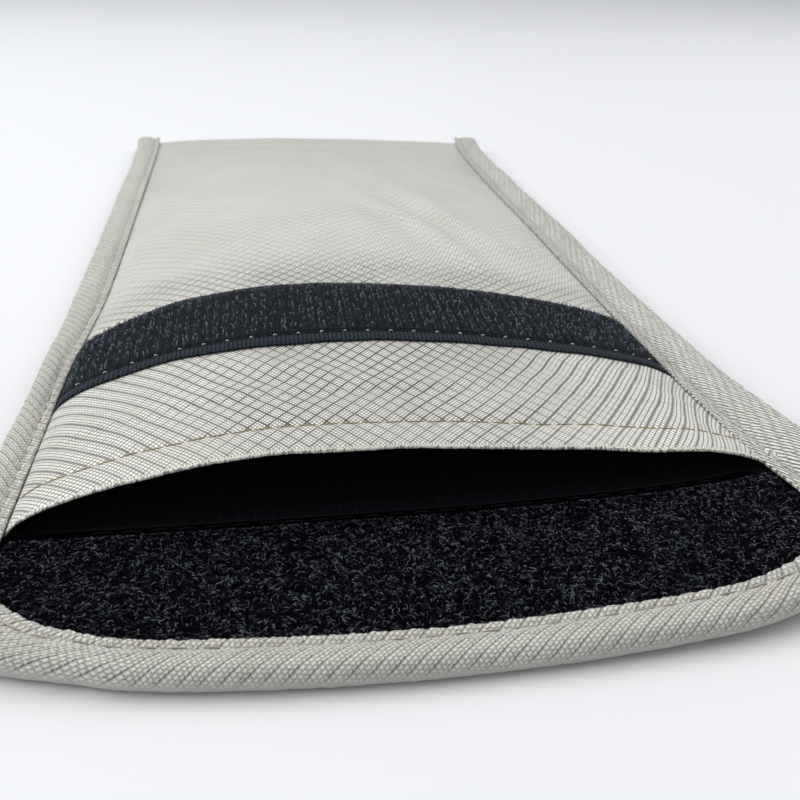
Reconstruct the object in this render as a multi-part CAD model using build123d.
from build123d import *
import math
import os

# Flat soft pouch with a fold-over flap, lying open on its back.
# Frame: +X to the right, +Y towards the closed end, +Z up. The origin is the middle of the resting face.
# The outer cloth is one piece that runs up the front wall, round the end fold, along the back wall
# and out into the flap. It is split here at the end fold and at the fold-over crease, so that the
# flap can turn. The front wall lies on top, the back wall underneath. All sizes are in mm.

# ---- front wall surface ----
FRONT_SIDE_Z = 2.7       # outer surface beside the tapes
ARCH_HALF = 45.4         # the wall starts to rise inside the tapes
# (y, rise of the crown above the sides), from the end fold to the lip edge
CROWN = [
    (108.0, 0.0), (94.0, 1.7), (78.0, 4.0), (60.0, 6.3), (40.0, 8.3), (20.0, 9.8),
    (0.0, 10.8), (-20.0, 11.3), (-40.0, 11.3), (-58.0, 10.5), (-73.0, 9.9), (-87.0, 9.4),
]
# x of the surface points between the middle and the layer edge
ARCH_X = [12, 23, 32, 39, 43.5, 45.8, 48.2]

# ---- overall sizes ----
WIDTH = 105.0            # over the side bindings
HALF = WIDTH / 2
END_Y = 113.05           # closed end of the cloth
WALL_END_Y = CROWN[0][0]
MOUTH_Y = CROWN[-1][0]   # edge of the front lip
FRONT_Y = -114.0         # outer edge of the flap
TAPE_END_Y = 114.0       # side tapes run on past the end fold

# ---- binding tape, folded round the raw edges ----
TAPE_W = 6.5             # width seen from above
TAPE_T = 0.6
EDGE_T = 3.4             # bound edge, overall thickness
INNER = HALF - TAPE_W    # inner edge of the side tapes
CORNER_R = 22.0          # flap corners, outer
CORNER_X = HALF - CORNER_R       # centres of the flap corners
CORNER_Y = FRONT_Y + CORNER_R

# ---- back wall and flap layers: (bottom, top) heights ----
CLOTH_T = 0.3
BACK_CLOTH = (0.65, 0.95)
BACK_BARRIER = (1.0, 1.3)
BACK_LINING = (1.35, 1.58)
LAYER_HALF = 50.6        # the layers run into the folded tape up to here
LAYER_INSET = HALF - LAYER_HALF

# ---- front wall layers: vertical offsets from the outer surface ----
FRONT_CLOTH = (-CLOTH_T, 0.0)
FRONT_BARRIER = (-0.62, -0.35)
FRONT_LINING = (-0.88, -0.67)
LIP_HEM = (-0.62, 0.0)   # doubled cloth at the lip edge
HEM_Y = -81.6            # stitch row of the hem
HEM_BACK_Y = HEM_Y - 0.4
LIP_LINING_SETBACK = 1.2

# ---- fastener tapes ----
SELVEDGE = 1.6           # bare margin of a fastener tape
HOOK_Y = (-60.0, -40.0)
HOOK_HALF = 45.6
HOOK_TAPE = (0.05, 0.5)
HOOK_FIELD = (0.52, 1.15)
HOOK_FIELD_INSET = 0.6   # at each end of the strip
LOOP_BACK_Y = -83.6      # the loop tape runs back under the lip
LOOP_NECK_Y = MOUTH_Y - 0.4      # the loop tape narrows here, in front of the lip
LOOP_BASE = (1.62, 1.95)
LOOP_PILE = (1.97, 2.85)
LOOP_UNDER_LIP = 38.0    # half width of the pile behind the lip edge
LOOP_BASE_MARGIN = 2     # the backing is wider than the pile there
LOOP_PILE_GAP = 0.15     # between the pile and the binding

# ---- fold-over crease, halfway between the lip edge and the hook strip ----
CREASE_Y = (MOUTH_Y + HOOK_Y[0]) / 2
GAP = 0.1                # free gap between neighbours across the crease
BODY_Y = CREASE_Y + GAP / 2      # where the body starts
FLAP_Y = CREASE_Y - GAP / 2      # where the flap and lip end

# ---- stitches ----
STITCH_L = 2.6
STITCH_R = 0.17
STITCH_PITCH = 3.3
FLAT_LIFT = STITCH_R + 0.02      # thread centre above a flat surface
WALL_LIFT = STITCH_R + 0.1       # thread centre above the arched wall
SEAM_INSET = 1.2         # from the inner edge of the tape
SEAM_X = INNER + SEAM_INSET
SEAM_Z = EDGE_T + FLAT_LIFT
SEAM_R = CORNER_R - TAPE_W + SEAM_INSET
SIDE_SEAM_MARGINS = (2, 3)       # kept free at the crease and at the closed end
FLAP_SEAM_MARGIN = 1.5   # kept free at the crease
HOOK_SEAM_HALF = HOOK_HALF - 1.5
HEM_SEAM_HALF = 44.8

CUT_HALF = 60.0          # half width of cutting blocks, clear of everything
SIDES = {"left": -1, "right": 1}


def slab(x0, x1, y0, y1, z0, z1):
    block = Box(x1 - x0, y1 - y0, z1 - z0, align=(Align.MIN, Align.MIN, Align.MIN))
    return block.locate(Location((x0, y0, z0)))


# ---------------- front wall ----------------
def arch(x):
    """Share of the crown's rise at x: 1 in the middle, 0 beside the tapes."""
    reach = min(1.0, abs(x) / ARCH_HALF)
    return 1.0 - reach * reach


def crown(y):
    """Rise of the crown at y, straight between the stations."""
    for (y_a, rise_a), (y_b, rise_b) in zip(CROWN, CROWN[1:]):
        if y_b <= y <= y_a:
            return rise_a + (rise_b - rise_a) * (y_a - y) / (y_a - y_b)
    return 0.0


def wall_surface():
    half_x = ARCH_X + [LAYER_HALF]
    all_x = [-x for x in reversed(half_x)] + [0] + half_x
    points = [[Vector(x, y, FRONT_SIDE_Z + rise * arch(x)) for y, rise in CROWN] for x in all_x]
    return Face.make_surface_from_array_of_points(points, tol=0.02, min_deg=3, max_deg=3)


OUTER_SURFACE = wall_surface()


def wall_layer(offsets, y0, y1, half=CUT_HALF):
    """The front wall between two vertical offsets from its outer surface, cut to y0..y1."""
    low, high = offsets
    sheet = Solid.extrude(OUTER_SURFACE.moved(Location((0, 0, low))), Vector(0, 0, high - low))
    return sheet & slab(-half, half, y0, y1, -1, 30)


def front_wall():
    return {
        "front_cloth": wall_layer(FRONT_CLOTH, BODY_Y, WALL_END_Y - 0.05),
        "front_barrier": wall_layer(FRONT_BARRIER, BODY_Y, WALL_END_Y - 1.5),
        "front_lining": wall_layer(FRONT_LINING, BODY_Y, WALL_END_Y - 2.5),
    }


def lip():
    """The front wall in front of the crease, with a doubled hem at its edge."""
    single = wall_layer(FRONT_CLOTH, HEM_BACK_Y, FLAP_Y)
    hem = wall_layer(LIP_HEM, MOUTH_Y - 0.001, HEM_BACK_Y)
    return {
        "lip_cloth": single + hem,
        "lip_lining": wall_layer(FRONT_LINING, MOUTH_Y + LIP_LINING_SETBACK, FLAP_Y),
    }


def hook_strip():
    """Hook fastener on top of the front wall."""
    y0, y1 = HOOK_Y
    return {
        "hook_tape": wall_layer(HOOK_TAPE, y0, y1, HOOK_HALF),
        "hook_field": wall_layer(
            HOOK_FIELD, y0 + SELVEDGE, y1 - SELVEDGE, HOOK_HALF - HOOK_FIELD_INSET),
    }


# ---------------- back wall with the end fold ----------------
def back_wall():
    fold_r = (FRONT_SIDE_Z - BACK_CLOTH[0]) / 2
    fold_z = (FRONT_SIDE_Z + BACK_CLOTH[0]) / 2
    fold_y = END_Y - fold_r

    def sheet(y0, y1, heights):
        return slab(-LAYER_HALF, LAYER_HALF, y0, y1, *heights)

    tube = Cylinder(fold_r, 2 * LAYER_HALF, rotation=(0, 90, 0)) - Cylinder(
        fold_r - CLOTH_T, 2 * LAYER_HALF + 2, rotation=(0, 90, 0))
    fold = tube.locate(Location((0, fold_y, fold_z))) & slab(
        -CUT_HALF, CUT_HALF, fold_y, END_Y + 1, 0, 10)
    # Upper tab that brings the cloth from the fold back to the front wall
    tab = sheet(WALL_END_Y, fold_y, (FRONT_SIDE_Z - CLOTH_T, FRONT_SIDE_Z))
    return {
        "back_cloth": sheet(BODY_Y, fold_y, BACK_CLOTH) + fold + tab,
        "back_barrier": sheet(BODY_Y, fold_y - 0.6, BACK_BARRIER),
        "back_lining": sheet(BODY_Y, fold_y - 1.0, BACK_LINING),
    }


# ---------------- binding tape, a folded C section ----------------
def edge_profile(start, inset):
    """Round-nosed profile of the bound edge, pulled in by inset; start is its open end."""
    straight = TAPE_W - EDGE_T / 2
    low, high = inset, EDGE_T - inset
    nose = (TAPE_W - inset, EDGE_T / 2, 0)
    return make_face(Wire([
        Edge.make_line((start, low, 0), (straight, low, 0)),
        Edge.make_three_point_arc((straight, low, 0), nose, (straight, high, 0)),
        Edge.make_line((straight, high, 0), (start, high, 0)),
        Edge.make_line((start, high, 0), (start, low, 0)),
    ]))


def tape_section(origin, outward):
    """C section standing at origin, a point on the tape's inner edge, with its nose outward."""
    z_dir = Vector(*outward).cross(Vector(0, 0, 1))
    section = edge_profile(0, 0) - edge_profile(-1, TAPE_T)
    return Plane(origin=origin, x_dir=outward, z_dir=z_dir) * section


def straight_tape(origin, outward, length, direction):
    return extrude(tape_section(origin, outward), amount=length, dir=direction)


def side_bindings():
    return {
        f"side_binding_{name}": straight_tape(
            (side * INNER, BODY_Y, 0), (side, 0, 0), TAPE_END_Y - BODY_Y, (0, 1, 0))
        for name, side in SIDES.items()
    }


def flap_binding():
    """Two side runs, each with its rounded corner, then the run along the flap's outer edge."""
    runs = []
    for side in SIDES.values():
        start, outward = (side * INNER, CORNER_Y, 0), (side, 0, 0)
        runs.append(straight_tape(start, outward, FLAP_Y - CORNER_Y, (0, 1, 0)))
        corner_axis = Axis((side * CORNER_X, CORNER_Y, 0), (0, 0, -side))
        runs.append(revolve(tape_section(start, outward), axis=corner_axis, revolution_arc=90))
    runs.append(straight_tape(
        (-CORNER_X, FRONT_Y + TAPE_W, 0), (0, -1, 0), 2 * CORNER_X, (1, 0, 0)))
    binding = runs[0]
    for run in runs[1:]:
        binding = binding + run
    return {"flap_binding": binding}


# ---------------- flap layers ----------------
def flap_sheet(inset, y_back, heights):
    """A sheet with the flap's outline pulled in by inset, back to y_back."""
    half = HALF - inset
    sheet = slab(-half, half, FRONT_Y + inset, y_back, *heights)
    corners = sheet.edges().filter_by(Axis.Z).sort_by(Axis.Y)[:2]
    return fillet(corners, radius=CORNER_R - inset)


def loop_layer(inset, heights, tongue_half, tongue_back):
    """A flap sheet in front of the lip with a narrower tongue running back under it."""
    return flap_sheet(inset, LOOP_NECK_Y, heights) + slab(
        -tongue_half, tongue_half, LOOP_NECK_Y, tongue_back, *heights)


def flap_layers():
    return {
        "flap_cloth": flap_sheet(LAYER_INSET, FLAP_Y, BACK_CLOTH),
        "flap_barrier": flap_sheet(LAYER_INSET, FLAP_Y, BACK_BARRIER),
        "flap_lining": flap_sheet(LAYER_INSET, FLAP_Y, BACK_LINING),
        "loop_backing": loop_layer(
            LAYER_INSET, LOOP_BASE, LOOP_UNDER_LIP + LOOP_BASE_MARGIN, LOOP_BACK_Y),
        "loop_pile": loop_layer(
            TAPE_W + LOOP_PILE_GAP, LOOP_PILE, LOOP_UNDER_LIP, LOOP_BACK_Y - SELVEDGE),
    }


# ---------------- stitches: short lengths of thread standing on the surface ----------------
ROD = Cylinder(STITCH_R, STITCH_L, rotation=(0, 90, 0)).solids()[0]


def stitch(centre, along):
    along = Vector(*along).normalized()
    across = Vector(0, 0, 1).cross(along).normalized()
    return ROD.moved(Plane(origin=centre, x_dir=along, z_dir=along.cross(across)).location)


def spread_x(half):
    """Stitch centres spread evenly over -half..half."""
    count = int((2 * half) // STITCH_PITCH)
    return [-half + (i + 0.5) * (2 * half / count) for i in range(count)]


def flat_row(half, y, z):
    """A row along X on a flat surface."""
    return [stitch((x, y, z), (1, 0, 0)) for x in spread_x(half)]


def side_row(side, y_start, length):
    """A row along Y on a side tape."""
    count = int(length // STITCH_PITCH)
    return [stitch((side * SEAM_X, y_start + (i + 0.5) * STITCH_PITCH, SEAM_Z), (0, 1, 0))
            for i in range(count)]


def corner_row(side):
    """A row round a flap corner."""
    count = int(SEAM_R * math.pi / 2 // STITCH_PITCH)
    row = []
    for i in range(count):
        angle = (i + 0.5) / count * math.pi / 2
        cos, sin = math.cos(angle), math.sin(angle)
        centre = (side * (CORNER_X + SEAM_R * cos), CORNER_Y - SEAM_R * sin, SEAM_Z)
        row.append(stitch(centre, (side * sin, cos, 0)))
    return row


def wall_row(y, half, offset):
    """A row across the front wall, following the arch just above the given offset."""
    row = []
    for x in spread_x(half):
        start, end = [
            Vector(end_x, y, FRONT_SIDE_Z + crown(y) * arch(end_x) + offset)
            for end_x in (x - STITCH_L / 2, x + STITCH_L / 2)]
        row.append(stitch((start + end) * 0.5 + Vector(0, 0, WALL_LIFT), tuple(end - start)))
    return row


def threads():
    rows = {}
    near, far = SIDE_SEAM_MARGINS
    flap_seam = []
    for name, side in SIDES.items():
        rows[f"side_thread_{name}"] = side_row(
            side, BODY_Y + near, TAPE_END_Y - far - BODY_Y - near)
        flap_seam += side_row(side, CORNER_Y, FLAP_Y - FLAP_SEAM_MARGIN - CORNER_Y)
        flap_seam += corner_row(side)
    rows["flap_thread"] = flap_seam + flat_row(CORNER_X, CORNER_Y - SEAM_R, SEAM_Z)
    for name, y in (("front", HOOK_Y[0] + SELVEDGE / 2), ("back", HOOK_Y[1] - SELVEDGE / 2)):
        rows[f"hook_thread_{name}"] = wall_row(y, HOOK_SEAM_HALF, HOOK_TAPE[1])
    rows["hem_thread"] = wall_row(HEM_Y, HEM_SEAM_HALF, 0.0)
    rows["loop_thread"] = flat_row(
        LOOP_UNDER_LIP, LOOP_BACK_Y - SELVEDGE / 2, LOOP_BASE[1] + FLAT_LIFT)
    return {name: Compound(row) for name, row in rows.items()}


os.makedirs("parts", exist_ok=True)
for build in (front_wall, back_wall, lip, hook_strip, side_bindings, flap_binding,
              flap_layers, threads):
    for name, part in build().items():
        export_step(part, f"parts/{name}.step")
